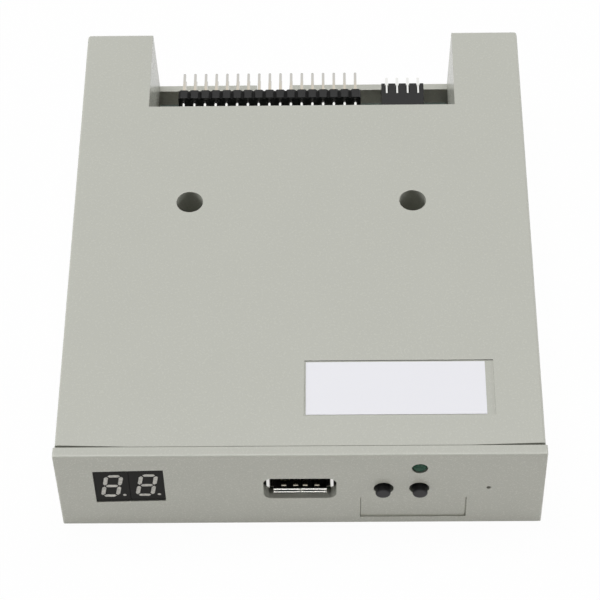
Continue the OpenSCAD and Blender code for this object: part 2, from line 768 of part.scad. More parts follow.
// Lip inside the cover's right wall that reaches into the tray
module side_lip() {
    face = inner_w / 2 - clip_gap;
    run_back(lip_d - lip_l / 2, lip_d + lip_l / 2) polygon([
        [inner_w / 2 + wall / 2, tray_h + seam + lip_h + lip_t], [inner_w / 2 + wall / 2, tray_h + seam],
        [face, tray_h + seam], [face, tray_h - lip_h], [face - lip_t, tray_h - lip_h],
        [face - lip_t, tray_h + seam + lip_h], [face, tray_h + seam + lip_h + lip_t]]);
}

// Hook on the right lip that snaps into a groove in the tray's wall
module snap_hook(d) {
    face = inner_w / 2 - clip_gap;
    top = tray_h + seam + lip_h;
    run_back(d - hook_w / 2, d + hook_w / 2) polygon([
        [face - hook_t, top], [face, top], [face, hook_z + hook_barb_h],
        [face + hook_barb, hook_z + hook_barb_h], [face, hook_z], [face - hook_t, hook_z]]);
}

module front_bezel() color(grey) difference() {
    union() {
        intersection() {
            translate([0, 0, case_h / 2]) run_back(0, bezel_t) round_rect(bezel_w, case_h, bezel_r);
            translate([0, at(bezel_t)]) linear_extrude(case_h) round_rect(bezel_w, 2 * bezel_t, bezel_r);
            translate([0, bezel_t, case_h / 2]) run_across(bezel_w) round_rect(2 * bezel_t, case_h, bezel_r);
        }
        for (s = [-1, 1]) {
            mirror([s > 0 ? 0 : 1, 0, 0]) clip();
            block([s * tongue_x - tongue_w / 2, s * tongue_x + tongue_w / 2],
                [bezel_t / 2, bezel_t + tongue_l],
                [case_h - top_t - seam - tongue_t, case_h - top_t - seam]);
        }
    }
    translate([display_x, 0, display_z]) run_back(-eps, bezel_t + eps) window_outline();
    usb_opening();
    for (x = holes_x())
        translate([x, 0, button_z]) run_back(-eps, bezel_t + eps) circle(d = button_hole);
    translate([lamp_x, 0, lamp_z]) run_back(-eps, bezel_t + eps) circle(d = lamp_hole);
    translate([pin_hole_x, 0, pin_hole_z]) run_back(-eps, bezel_t + eps) circle(d = pin_hole);
    translate([recess_x, 0, recess_z]) run_back(-eps, recess_t) square([recess_w, recess_h], center = true);
    recess_groove(1, groove_w);
    recess_groove(-1, groove_w / 2);
}

// Opening for the socket, which slopes up to the rear, and the room behind its sill for the lower flange
module usb_opening() {
    middle = usb_z - usb_hole_drop;
    slope = atan(usb_rise / usb_sill);
    translate([usb_x, face_y, middle]) rotate([slope, 0, 0]) translate([0, -face_y, 0])
        run_back(-bezel_t, 2 * bezel_t) round_rect(usb_hole_w, usb_hole_h * cos(slope), usb_hole_r);
    block([usb_x - usb_w / 2, usb_x + usb_w / 2], [usb_sill, bezel_t + eps],
        [middle - usb_hole_h / 2, middle]);
}

// Upright groove at one end of the recess
module recess_groove(s, w)
    translate([recess_x + s * (recess_w - w) / 2, 0, recess_z]) run_back(-eps, recess_t + groove_t)
        square([w, recess_h], center = true);

// Outline of the display's window, whose long edges follow the lean of the two modules
module window_outline() {
    w = window_w / 2;
    h = window_h / 2;
    polygon([[-w, -h - lean(w)], [w, lean(w) - h], [w, h + lean(w)], [-w, h - lean(w)]]);
}

// Right-hand clip that hooks the bezel into the tray's wall
module clip() {
    face = inner_w / 2 - clip_gap;
    end = bezel_t + clip_l;
    translate([0, face_y, clip_z - clip_w / 2]) linear_extrude(clip_w) polygon([
        [face - clip_t, bezel_t / 2], [face, bezel_t / 2], [face, end - barb_l],
        [face + barb, end - barb_l], [face, end], [face - clip_t, end]]);
}

module top_label() color("#e9e9ee") {
    w = pocket_w - 2 * label_edge - label_end;
    translate([pocket_x - label_end / 2, at(pocket_d), case_h - pocket_t])
        linear_extrude(label_t) square([w, pocket_l - 2 * label_edge], center = true);
}

module main_board() color(board_green) difference() {
    union() {
        block([-board_w / 2, board_w / 2], [board_notch_d, board_step], [board_foot, board_z]);
        block([board_notch_x, board_w / 2], [board_d, board_notch_d + eps], [board_foot, board_z]);
        block([-tab_w / 2, tab_w / 2], [board_step - eps, board_back], [board_foot, board_z]);
    }
    for (s = [-1, 1]) {
        for (p = screws_at()) board_hole(s * p[0], p[1], screw_pass - 2 * hole_gap);
        board_hole(s * peg_x, case_l - peg_back, peg_d);
        board_hole(lamp_x + s * lead_pitch / 2, lead_d, lead_t * sqrt(2));
        tab = usb_x + s * (usb_w - usb_t) / 2;
        block([tab - usb_t / 2 - hole_gap, tab + usb_t / 2 + hole_gap],
            [usb_tab_d - 1 - hole_gap, usb_tab_d + 1 + hole_gap], [board_foot - eps, board_z + eps]);
        for (x = buttons_x()) {
            board_hole(x + s * switch_w / 3, base_d + switch_t - pin_t, pin_t);
            cheek = x + s * (switch_w + frame_t) / 2;
            block([cheek - frame_t / 2 - hole_gap, cheek + frame_t / 2 + hole_gap],
                [base_d + switch_t / 3 - pin_t - hole_gap, base_d + switch_t / 3 + pin_t + hole_gap],
                [board_foot - eps, board_z + eps]);
        }
    }
    for (x = usb_contact_x) board_hole(usb_x + x, usb_leg, usb_contact_w);
    for (x = row_x(ribbon_count, pitch), k = [1, 2])
        board_hole(ribbon_x + x, ribbon_front - leg_d - (k - 1) * pitch, pin_t * sqrt(2));
    for (x = row_x(power_count, power_pitch)) board_hole(power_x + x, power_leg, pin_t * sqrt(2));
    for (x = row_x(link_count, pitch)) board_hole(display_x + x, link_turn, pin_t * sqrt(2));
    for (x = row_x(jumper_count, pitch), s = [-1, 1])
        board_hole(jumper_x + x, jumper_d + s * pitch / 2, pin_t * sqrt(2));
}

module case_screws() color(steel)
    for (s = [-1, 1]) translate([s * well_x, at(well_d), 0]) screw(board_z + seat_t, case_screw_l);

module board_screws() color(steel)
    for (s = [-1, 1]) translate([s * board_screw_x, at(board_screw_d), 0]) screw(board_z, screw_l);

// Outline of a header's cells with the chamfers between them, in rows of the header's pitch
module cell_outline(n, rows) {
    half = pitch / 2;
    high = rows * pitch;
    xs = row_x(n, pitch);
    polygon([
        for (x = xs) each [[x - half, high - cell_cut], [x - half + cell_cut, high],
            [x + half - cell_cut, high], [x + half, high - cell_cut]],
        for (i = [n - 1 : -1 : 0]) each [[xs[i] + half, cell_cut], [xs[i] + half - cell_cut, 0],
            [xs[i] - half + cell_cut, 0], [xs[i] - half, cell_cut]]]);
}

module ribbon_header() color(black) difference() {
    translate([ribbon_x, 0, board_z]) run_back(ribbon_front, ribbon_front + pitch)
        cell_outline(ribbon_count, 2);
    translate([ribbon_x, 0, 0]) run_back(ribbon_front - eps, ribbon_front + pitch + eps)
        for (x = row_x(ribbon_count, pitch), z = ribbon_rows) translate([x, z]) square(pin_t, center = true);
}

module ribbon_pins() color(gold)
    for (x = row_x(ribbon_count, pitch), k = [1, 2]) translate([ribbon_x + x, 0, 0])
        bent_lead(ribbon_front + pitch + ribbon_reach, ribbon_front - leg_d - (k - 1) * pitch,
            ribbon_rows[k - 1], board_foot - tail, pin_t, pin_t, pin_t / 4);

module power_header() color(black) difference() {
    translate([power_x, 0, 0]) run_across(power_w) polygon([
        [power_rear - power_l, board_z], [board_back, board_z],
        [board_back + tab_gap, board_z - power_drop], [power_rear, board_z - power_drop],
        [power_rear, board_z + power_h], [power_rear - power_l, board_z + power_h]]);
    for (x = row_x(power_count, power_pitch)) translate([power_x + x, 0, 0]) {
        block([-pin_t / 2, pin_t / 2], [power_rear - power_l - eps, power_rear],
            [power_z - pin_t / 2, power_z + pin_t / 2]);
        block([-slot_w / 2, slot_w / 2], [power_rear - slot_l, power_rear + eps],
            [power_z - pin_t / 2, board_z + power_h + eps]);
    }
}

module power_pins() color(steel)
    for (x = row_x(power_count, power_pitch)) translate([power_x + x, 0, 0])
        bent_lead(power_rear + power_reach, power_leg, power_z, board_foot - tail, pin_t, pin_t, pin_t / 4);

module usb_shell() color(steel) translate([usb_x, 0, 0]) {
    low = usb_z - usb_h / 2;
    difference() {
        union() {
            translate([0, 0, usb_z]) run_back(usb_d, usb_end) round_rect(usb_w, usb_h, 2 * usb_t);
            for (e = usb_edges) translate([0, 0, usb_z]) rotate([0, e[0], 0])
                block([-e[2] / 2, e[2] / 2], [usb_d, usb_d + usb_t],
                    [-e[1] - usb_t - e[3], -e[1] - usb_t / 2]);
            run_across(usb_edges[0][2]) translate([usb_d + usb_t / 6, low - usb_lip + usb_roll])
                circle(r = usb_roll);
            for (s = [-1, 1])
                translate([s * (usb_w - usb_t) / 2, at(usb_tab_d), (usb_z + board_foot - tail) / 2])
                    cube([usb_t, 2, usb_z - board_foot + tail], center = true);
        }
        for (e = usb_edges) translate([0, 0, usb_z]) rotate([0, e[0], 0]) translate([0, 0, -e[1]])
            mouth_round(e[2]);
        lip_slots(usb_edges[0][2] / 2, low);
        for (s = [-1, 1], z = [-1, 1]) translate([s * usb_w / 2, at(usb_d), usb_z + z * usb_h / 2])
            cube([2.5 * usb_cut, 2 * usb_cut, 2 * usb_cut], center = true);
        block([-usb_split / 2, usb_split / 2], [usb_d - eps, usb_block_d + eps],
            [low - usb_lip - eps, low + 2 * usb_t]);
        translate([0, 0, usb_z]) run_back(usb_d - eps, usb_end - usb_t) round_rect(usb_in_w, usb_in_h, usb_t);
        block([-usb_in_w / 2, usb_in_w / 2], [usb_block_d, usb_end + eps], [low - eps, usb_z]);
        for (s = [-1, 1], z = [-1, 1]) translate([s * spring_x, 0, usb_z + z * usb_h / 2]) spring_slot();
    }
}

// Cutter that rounds one inner edge of the mouth into a bend
module mouth_round(w) difference() {
    run_across(w) translate([usb_d - eps, -usb_bend]) square(usb_bend + eps);
    run_across(w + 2 * eps) translate([usb_d + usb_bend, -usb_bend]) circle(r = usb_bend);
}

// Slots through the flange under the mouth, between its bend and its rolled edge
module lip_slots(half, low) {
    near = usb_split / 2 + usb_web;
    far = half - usb_web;
    foot = low - usb_lip + 2 * usb_roll + usb_t / 10;
    head = low + usb_t / 3;
    for (s = [-1, 1]) translate([s * (near + far) / 2, at(usb_d + usb_t / 2), (foot + head) / 2])
        cube([far - near, usb_t + 2 * eps, head - foot], center = true);
}

// U-shaped slot that frees one retaining spring of the socket's shell
module spring_slot() {
    front = usb_d + usb_l / 6;
    back = usb_d + usb_l / 2;
    difference() {
        block([-1, 1], [front, back], [-2 * usb_t, 2 * usb_t]);
        block([-0.6, 0.6], [front + usb_t, back + eps], [-3 * usb_t, 3 * usb_t]);
    }
}

module usb_insulator() color("#1d1d1f") translate([usb_x, 0, 0]) {
    half = usb_in_w / 2 - usb_fit;
    back = usb_end - usb_t - usb_fit;
    difference() {
        union() {
            block([-half, half], [usb_block_d, back], [board_z, usb_z + usb_in_h / 2 - usb_fit]);
            block([-usb_tongue_w / 2, usb_tongue_w / 2], [usb_d + usb_tongue_d, usb_block_d + eps],
                [usb_tongue_z, usb_tongue_z + usb_tongue_t]);
        }
        for (x = usb_contact_x) translate([x, 0, 0])
            bent_lead(usb_d + usb_tongue_d, usb_leg, usb_tongue_z - usb_contact_t / 2, board_z - eps,
                usb_contact_t, usb_contact_w, 0);
    }
}

module usb_contacts() color(gold)
    for (x = usb_contact_x) translate([usb_x + x, 0, 0]) {
        bent_lead(usb_d + 2 * usb_tongue_d, usb_leg, usb_tongue_z - usb_contact_t / 2, board_foot - tail,
            usb_contact_t, usb_contact_w, 0);
        difference() {
            run_across(usb_contact_w) translate([usb_d + usb_bow_d, usb_tongue_z]) circle(r = usb_bow);
            block([-usb_contact_w, usb_contact_w], [usb_d, usb_end], [usb_tongue_z, usb_z + usb_h]);
        }
    }

function digit_x(s) = display_x + s * (digit_w + digit_split) / 2;
function digit_z(s) = display_z + lean(digit_x(s) - display_x);

// Six-sided bar of a digit, lying or upright
function bar(l, upright) = let (h = bar_w / 2, pts = [[-l / 2, 0], [h - l / 2, h], [l / 2 - h, h],
    [l / 2, 0], [l / 2 - h, -h], [h - l / 2, -h]]) [for (p = pts) upright ? [p.y, p.x] : p];

// A digit's seven bars and its decimal point, slanted, about the digit's middle
module digit_outline() {
    bars = concat([for (z = [-1, 0, 1]) [[0, z * bar_rise], bar_span - bar_gap, false]],
        [for (x = [-1, 1], z = [-1, 1]) [[x * bar_span / 2, z * bar_rise / 2], bar_rise - bar_gap, true]]);
    for (b = bars) polygon([for (p = bar(b[1], b[2]))
        [b[0].x + p.x + (b[0].y + p.y) * tan(slant), b[0].y + p.y]]);
    translate([dot_x, dot_rise - bar_rise]) circle(d = dot_d);
}

module digit(s) color(black) difference() {
    translate([digit_x(s), 0, digit_z(s)]) run_back(digit_back, panel_d)
        square([digit_w, digit_h], center = true);
    translate([digit_x(s), 0, digit_z(s)]) run_back(digit_back - eps, digit_back + bar_t) digit_outline();
}

module left_digit() digit(-1);
module right_digit() digit(1);

module digit_segments() color("#c8c6c4")
    for (s = [-1, 1]) translate([digit_x(s), 0, digit_z(s)])
        run_back(digit_back + bar_sink, digit_back + bar_t) digit_outline();

module display_board() color(board_green) difference() {
    translate([display_x, 0, display_z]) run_back(panel_d, panel_d + panel_t)
        square([window_w, digit_h], center = true);
    each_digit_pin() run_back(panel_d - eps, panel_d + panel_t + eps) circle(d = digit_pin + hole_gap);
    for (x = row_x(link_count, pitch)) translate([display_x + x, 0, link_z])
        run_back(panel_d - eps, panel_d + panel_t + eps) circle(d = pin_t * sqrt(2) + hole_gap);
}

// Puts its child at each pin of the two display modules
module each_digit_pin()
    for (s = [-1, 1], z = [-1, 1], x = row_x(5, digit_pitch))
        translate([digit_x(s) + x, 0, digit_z(s) + z * digit_row]) children();

module display_pins() color(steel)
    each_digit_pin() run_back(panel_d, panel_d + panel_t + digit_tail) circle(d = digit_pin);

module link_pins() color(gold)
    for (x = row_x(link_count, pitch)) translate([display_x + x, 0, 0])
        bent_lead(panel_d, link_turn, link_z, board_foot - tail, pin_t, pin_t, pin_t / 4);

module link_strip() color(black) difference() {
    translate([display_x, 0, link_z - pitch / 2])
        run_back(panel_d + panel_t, panel_d + panel_t + pitch) cell_outline(link_count, 1);
    translate([display_x, 0, link_z]) run_back(panel_d, panel_d + panel_t + pitch + eps)
        for (x = row_x(link_count, pitch)) translate([x, 0]) square(pin_t, center = true);
}

module status_lamp() color("#1f4a3a") {
    r = lamp_d / 2;
    translate([lamp_x, at(lamp_back + lamp_l + flange_t), lamp_z]) rotate([90, 0, 0]) {
        cylinder(d = flange_d, h = flange_t);
        cylinder(r = r, h = flange_t + lamp_l - lamp_edge);
        translate([0, 0, flange_t + lamp_l - lamp_edge]) cylinder(r1 = r, r2 = r - lamp_edge, h = lamp_edge);
    }
}

module lamp_leads() color(steel)
    for (s = [-1, 1]) translate([lamp_x + s * lead_pitch / 2, 0, 0])
        bent_lead(lamp_back + lamp_l + flange_t, lead_d, lamp_z, board_foot - tail, lead_t, lead_t, 0);

// Button with its stem, retaining collar and the nub that meets the dome, turned about its axis
module push_button(x) color("#3a383b") {
    r = button_d / 2;
    tip = nub_end + button_proud;
    collar = nub_end - collar_front;
    edge = r / 8;
    translate([x, at(nub_end), button_z]) rotate([90, 0, 0]) rotate_extrude() polygon([
        [0, 0], [r * 0.7, 0], [r * 0.7, collar - collar_t], [collar_d / 2, collar - collar_t],
        [collar_d / 2, collar], [r, collar], [r, tip - edge], [r - edge, tip], [0, tip]]);
}

module left_button() push_button(buttons_x()[0]);
module right_button() push_button(buttons_x()[1]);

// Thin round spring that snaps through under the button's nub
module snap_dome(x) color(steel) {
    r = (pow(dome_d / 2, 2) + pow(dome_h, 2)) / (2 * dome_h);
    translate([x, at(cup_floor), button_z]) rotate([90, 0, 0]) intersection() {
        translate([0, 0, dome_h - r]) difference() {
            sphere(r = r);
            sphere(r = r - dome_t);
        }
        cylinder(d = dome_d, h = 2 * dome_h);
    }
}

module left_dome() snap_dome(buttons_x()[0]);
module right_dome() snap_dome(buttons_x()[1]);

module switch_bases() color(black)
    for (x = buttons_x()) difference() {
        block([x - switch_w / 2, x + switch_w / 2], [base_d, base_d + switch_t],
            [board_z, button_z + switch_w / 2]);
        translate([x, 0, button_z]) run_back(base_d - eps, cup_floor) circle(d = cup_d);
    }

// Sheet metal frame: a front plate with the button's hole and two cheeks whose legs go through the board
module switch_frames() color(steel)
    for (x = buttons_x()) difference() {
        union() {
            block([x - switch_w / 2 - frame_t, x + switch_w / 2 + frame_t], [switch_d, base_d],
                [board_z, button_z + switch_w / 2]);
            for (s = [-1, 1]) translate([x + s * (switch_w + frame_t) / 2, 0, 0]) {
                block([-frame_t / 2, frame_t / 2], [switch_d, base_d + switch_t * 2 / 3],
                    [board_z, button_z + switch_w / 2]);
                block([-frame_t / 2, frame_t / 2],
                    [base_d + switch_t / 3 - pin_t, base_d + switch_t / 3 + pin_t],
                    [board_foot - tail, board_z + frame_t]);
            }
        }
        translate([x, 0, button_z]) run_back(switch_d - eps, base_d + eps)
            circle(d = button_d + 2 * button_gap);
    }

module switch_legs() color(steel)
    for (x = buttons_x(), s = [-1, 1])
        translate([x + s * switch_w / 3, at(base_d + switch_t - pin_t), board_foot - tail])
            cylinder(d = pin_t, h = board_t + tail);

// Chip body with the moulding's sloped flanks left out, seated by its leads
module chip_body(w, l, h) translate([0, 0, board_z + chip_lift + h / 2]) cube([w, l, h], center = true);

module processor() color(black) translate([chip_x, at(chip_d), 0]) chip_body(chip_w, chip_w, chip_h);

module driver_chips() color(black)
    for (x = row_x(driver_count, driver_pitch)) translate([ribbon_x + x, at(driver_d), 0])
        chip_body(driver_w, driver_l, chip_h);

module regulator() color(black)
    translate([regulator_x, at(regulator_d), 0]) chip_body(1.4 * driver_l + gull_l, driver_l, regulator_h);

// A row of gull-wing leads along the edge of a chip
module lead_row(n, p, out, w, h) {
    low = chip_lift + h / 2;
    bend = gull_l / 3;
    for (x = row_x(n, p)) translate([x, out, board_z]) rotate([90, 0, 90]) linear_extrude(w, center = true)
        polygon([[0, low], [bend, low], [2 * bend - gull_t, 0], [gull_l, 0], [gull_l, gull_t],
            [2 * bend, gull_t], [bend + gull_t, low + gull_t], [0, low + gull_t]]);
}

module chip_leads() color(steel) {
    translate([chip_x, at(chip_d), 0]) for (a = [0, 90, 180, 270]) rotate([0, 0, a])
        lead_row(chip_leads_n, chip_pitch, chip_w / 2, chip_pitch / 2, chip_h);
    for (x = row_x(driver_count, driver_pitch), a = [0, 180])
        translate([ribbon_x + x, at(driver_d), 0]) rotate([0, 0, a])
            lead_row(6, pitch / 2, driver_l / 2, pitch / 6, chip_h);
    translate([regulator_x, at(regulator_d), 0]) {
        lead_row(1, pitch, driver_l / 2, driver_l * 0.8, regulator_h);
        rotate([0, 0, 180]) lead_row(3, 0.9 * pitch, driver_l / 2, pitch / 4, regulator_h);
    }
}

module crystal() color(steel) translate([crystal_x, at(crystal_d), board_z]) linear_extrude(crystal_h) {
    straight = crystal_l - crystal_w;
    square([straight, crystal_w], center = true);
    for (s = [-1, 1]) translate([s * straight / 2, 0]) circle(d = crystal_w);
}

// Two round cans with the rolled groove near their feet
module capacitors() color("#2c2f3a")
    for (k = [0, 1]) translate([cap_x, at(cap_first_d + k * cap_pitch), board_z]) {
        r = cap_d / 2;
        groove = r / 8;
        rotate_extrude() polygon([[0, 0], [r, 0], [r, groove], [r - groove, 2 * groove],
            [r - groove, 3 * groove], [r, 4 * groove], [r, cap_h - groove], [r - groove, cap_h], [0, cap_h]]);
    }

module chip_resistors() color("#1c1c20")
    for (x = row_x(res_count, res_pitch)) translate([ribbon_x + x, at(res_d), board_z + res_h / 2])
        cube([res_w, res_l, res_h], center = true);

module jumper_block() color(black) difference() {
    translate([jumper_x, at(jumper_d), board_z + pitch]) rotate([0, 180, 0]) linear_extrude(pitch)
        translate([0, -pitch]) cell_outline(jumper_count, 2);
    each_jumper_pin() translate([0, 0, board_z + pitch / 2])
        cube([pin_t, pin_t, pitch + 2 * eps], center = true);
}

// Puts its child at each pin of the jumper block
module each_jumper_pin()
    for (x = row_x(jumper_count, pitch), s = [-1, 1])
        translate([jumper_x + x, at(jumper_d + s * pitch / 2), 0]) children();

module jumper_pins() color(gold)
    each_jumper_pin() translate([-pin_t / 2, -pin_t / 2, board_foot - tail])
        cube([pin_t, pin_t, board_t + tail + jumper_h]);

// Bridge pushed over the first pair of jumper pins
module jumper_cap() color("#2b2b2e")
    translate([jumper_x + row_x(jumper_count, pitch)[0], at(jumper_d), board_z + pitch]) difference() {
        translate([0, 0, jumper_cap_h / 2])
            cube([pitch - jumper_fit, 2 * pitch - jumper_fit, jumper_cap_h], center = true);
        for (s = [-1, 1]) translate([0, s * pitch / 2, jumper_cap_h / 2])
            cube([pin_t + 2 * jumper_fit, pin_t + 2 * jumper_fit, jumper_cap_h + 2 * eps], center = true);
    }

base_tray();
top_cover();
front_bezel();
top_label();
main_board();
case_screws();
board_screws();
ribbon_header();
ribbon_pins();
power_header();
power_pins();
usb_shell();
usb_insulator();
usb_contacts();
left_digit();
right_digit();
digit_segments();
display_board();
display_pins();
link_pins();
link_strip();
status_lamp();
lamp_leads();
left_button();
right_button();
left_dome();
right_dome();
switch_bases();
switch_frames();
switch_legs();
processor();
driver_chips();
regulator();
chip_leads();
crystal();
capacitors();
chip_resistors();
jumper_block();
jumper_pins();
jumper_cap();
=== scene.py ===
"""A floppy drive emulator in a grey moulded case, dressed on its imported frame."""
import math

import bpy
from mathutils import Matrix, Vector


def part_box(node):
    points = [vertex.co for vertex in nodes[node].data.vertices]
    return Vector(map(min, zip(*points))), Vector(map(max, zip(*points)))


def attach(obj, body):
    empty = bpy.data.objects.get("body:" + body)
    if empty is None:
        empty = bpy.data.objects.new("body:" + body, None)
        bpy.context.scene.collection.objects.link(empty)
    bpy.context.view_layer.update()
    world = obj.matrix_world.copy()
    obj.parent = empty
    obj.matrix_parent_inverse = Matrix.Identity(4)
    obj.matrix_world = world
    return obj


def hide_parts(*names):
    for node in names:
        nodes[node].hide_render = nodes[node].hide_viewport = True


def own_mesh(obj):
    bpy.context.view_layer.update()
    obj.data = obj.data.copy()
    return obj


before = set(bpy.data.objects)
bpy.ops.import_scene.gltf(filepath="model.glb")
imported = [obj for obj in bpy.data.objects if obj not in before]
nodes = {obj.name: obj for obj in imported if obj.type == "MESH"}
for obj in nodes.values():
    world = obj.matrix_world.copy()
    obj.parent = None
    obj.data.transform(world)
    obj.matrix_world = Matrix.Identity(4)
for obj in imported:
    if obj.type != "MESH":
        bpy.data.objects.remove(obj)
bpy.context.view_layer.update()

# Base tray: the shallow lower half of the case, injection moulded in warm grey
# ABS with a fine spark-eroded grain. Posts on its floor carry the circuit board,
# and its walls take the bezel's clips and the cover's snap hooks.
MM = 0.001
FLOW_MM = 16.0
GLOSS_DRIFT = 0.03
WELD_REACH = 0.002 * MM
FLAT_WITHIN = math.radians(0.5)
SHARP_FROM = math.radians(40)


def linear(*rgb):
    """A colour written as it looks on a screen, 0 to 255, for a shader socket."""
    steps = [c / 255 for c in rgb]
    light = [c / 12.92 if c <= 0.04045 else ((c + 0.055) / 1.055) ** 2.4 for c in steps]
    return (*light, 1.0)


def shade(colour, share):
    """The same colour, darker or lighter by a share."""
    return (*(min(1.0, c * share) for c in colour[:3]), 1.0)


def add_node(tree, kind, sockets, **settings):
    """Adds a node with its settings, and links or sets its sockets by their names."""
    node = tree.nodes.new(kind)
    for key, value in settings.items():
        setattr(node, key, value)
    for key, value in sockets.items():
        if isinstance(value, bpy.types.NodeSocket):
            tree.links.new(value, node.inputs[key])
        else:
            node.inputs[key].default_value = value
    return node


class Finish:
    """Node tree of one finish, built a node at a time."""

    def __init__(self, owner):
        self.owner = owner
        owner.use_nodes = True
        self.tree = owner.node_tree
        self.tree.nodes.clear()

    def add(self, kind, sockets, **settings):
        """Adds one shader node."""
        return add_node(self.tree, "ShaderNode" + kind, sockets, **settings)

    def reckon(self, operation, *values):
        """Result of one sum on sockets and numbers."""
        return self.add("Math", dict(enumerate(values)), operation=operation).outputs[0]

    def place(self, **settings):
        """Object coordinates, turned or stretched where a pattern needs it."""
        spot = self.add("TexCoord", {}).outputs["Object"]
        if not settings:
            return spot
        return self.add("Mapping", {"Vector": spot, **settings}).outputs["Vector"]

    def noise(self, spot, size, detail=2.0, rough=0.55):
        """Noise whose cells measure about the given millimetres."""
        return self.add("TexNoise", {"Vector": spot, "Scale": 1 / (size * MM), "Detail": detail,
                                     "Roughness": rough}).outputs["Fac"]

    def spread(self, value, low, high, start=0.3, end=0.7):
        """Maps the middle of a noise to a range of values."""
        return self.add("MapRange", {"Value": value, "From Min": start, "From Max": end,
                                     "To Min": low, "To Max": high}).outputs["Result"]

    def blend(self, share, one, other):
        """Mixes two colours."""
        mix = self.add("Mix", {"Factor": share, "A": one, "B": other}, data_type="RGBA")
        return mix.outputs["Result"]

    def close(self, **sockets):
        """Ends the tree in one principled surface and hands back the material."""
        named = {key.replace("_", " "): value for key, value in sockets.items()}
        body = self.add("BsdfPrincipled", named)
        self.add("OutputMaterial", {"Surface": body.outputs[0]})
        return self.owner


def grained(f, spot, grain, depth):
    """Fine grain of a moulding, measured in millimetres, and the bumps that it makes."""
    fine = f.noise(spot, grain, rough=0.6)
    bumps = f.add("Bump", {"Height": fine, "Distance": depth * MM, "Strength": 0.6})
    return fine, bumps.outputs["Normal"]


def moulded(name, colour, grain=0.35, depth=0.005, rough=0.4, mottle=0.02, gloss=0.5, over=None):
    """Moulded plastic: fine grain, faint flow mottling, uneven gloss, and any painted shade laid
    over it.
    """
    f = Finish(bpy.data.materials.new(name))
    spot = f.place()
    flow = f.noise(spot, FLOW_MM, detail=3.0)
    tone = f.blend(flow, shade(colour, 1 - mottle), shade(colour, 1 + mottle))
    if over:
        tone = over(f, spot, tone)
    fine, skin = grained(f, spot, grain, depth)
    polish = f.spread(fine, rough - GLOSS_DRIFT, rough + GLOSS_DRIFT)
    return f.close(Base_Color=tone, Roughness=polish, Normal=skin, Specular_IOR_Level=gloss)


def dress(material, *names):
    """Gives CAD pieces their finish."""
    for name in names:
        nodes[name].data.materials.clear()
        nodes[name].data.materials.append(material)


def soften(width, *names):
    """Breaks the sharp edges of CAD pieces by a small radius, in millimetres, as moulds do."""
    for name in names:
        tools = nodes[name].modifiers
        weld = tools.new("weld", "WELD")
        weld.merge_threshold = WELD_REACH
        whole = tools.new("whole_faces", "DECIMATE")
        whole.decimate_type = "DISSOLVE"
        whole.angle_limit = FLAT_WITHIN
        edge = tools.new("broken_edges", "BEVEL")
        edge.width = width * MM
        edge.segments = 2
        edge.limit_method = "ANGLE"
        edge.angle_limit = SHARP_FROM
        edge.use_clamp_overlap = False
        flat = tools.new("flat_faces", "WEIGHTED_NORMAL")
        flat.mode = "FACE_AREA_WITH_ANGLE"
        flat.keep_sharp = True


CASE_GREY = linear(188, 189, 180)
CASE_SKIN = {"depth": 0.0025, "rough": 0.26}
case_grey = moulded("case_grey", CASE_GREY, **CASE_SKIN)
dress(case_grey, "base_tray")
soften(0.15, "base_tray")


# Main board and the small upright board behind the display: glass-fibre sheet
# with green solder mask over copper tracks, and bare yellowish fibre at the sawn
# edges. The main board lies on the tray's posts, and two pegs keep its place.
def solder_mask(name):
    """Mask over 45 degree tracks, with the bare sheet where a face doesn't look up or down."""
    f = Finish(bpy.data.materials.new(name))
    spot = f.place(Rotation=(0, 0, math.radians(45)))
    track = f.add("TexBrick", {"Vector": spot, "Scale": 1 / MM, "Mortar Size": 0.12,
                               "Mortar Smooth": 0.3, "Brick Width": 6.5, "Row Height": 1.1},
                  offset=0.37, squash=0.6).outputs["Fac"]
    mask = f.blend(track, linear(38, 51, 44), linear(48, 69, 56))
    patches = f.spread(f.noise(f.place(), 9.0), 0.0, 0.25)
    mask = f.blend(patches, mask, linear(34, 43, 39))
    threads = f.noise(f.place(Scale=(1, 1, 12)), 0.5)
    fibre = f.blend(threads, linear(120, 112, 78), linear(158, 148, 110))
    face = f.add("NewGeometry", {}).outputs["Normal"]
    up = f.add("SeparateXYZ", {"Vector": face}).outputs["Z"]
    level = f.reckon("GREATER_THAN", f.reckon("ABSOLUTE", up), 0.5)
    step = f.add("Bump", {"Height": track, "Distance": 0.03 * MM, "Strength": 0.7})
    return f.close(Base_Color=f.blend(level, fibre, mask), Normal=step.outputs["Normal"],
                   Roughness=0.32, Specular_IOR_Level=0.4)


dress(solder_mask("solder_mask"), "main_board")
dress(moulded("panel_mask", linear(46, 74, 54), rough=0.35), "display_board")

# Chips, regulator and chip resistors: black moulded epoxy bodies on bent tinned
# leads, soldered flat on the board under the cover.
RESIN_BODIES = ("processor", "driver_chips", "regulator", "chip_resistors")
dress(moulded("chip_black", linear(34, 34, 36), grain=0.15, rough=0.55), *RESIN_BODIES)
soften(0.08, *RESIN_BODIES)


def hazed(f, colour, grain=0.8, stretch=(1, 1, 1)):
    """Uneven polish of plating, and its colour, which is duller or brighter with it."""
    haze = f.noise(f.place(Scale=stretch), grain, detail=3.0)
    return haze, f.blend(haze, shade(colour, 0.94), shade(colour, 1.03))


def plated(name, colour, rough=0.2, wave=0.05, **marks):
    """Plated metal, its haze drawn out along the tool's marks where these are stretched."""
    f = Finish(bpy.data.materials.new(name))
    haze, tone = hazed(f, colour, **marks)
    polish = f.spread(haze, rough - wave, rough + wave)
    return f.close(Base_Color=tone, Metallic=1.0, Roughness=polish)


tin = plated("tin", linear(226, 226, 222), rough=0.16)
dress(tin, "chip_leads")

# Crystal: a drawn nickel-plated can with round ends, soldered to the board
# beside the processor.
dress(plated("can_nickel", linear(205, 204, 199), rough=0.24, stretch=(1, 1, 8)), "crystal")
soften(0.25, "crystal")

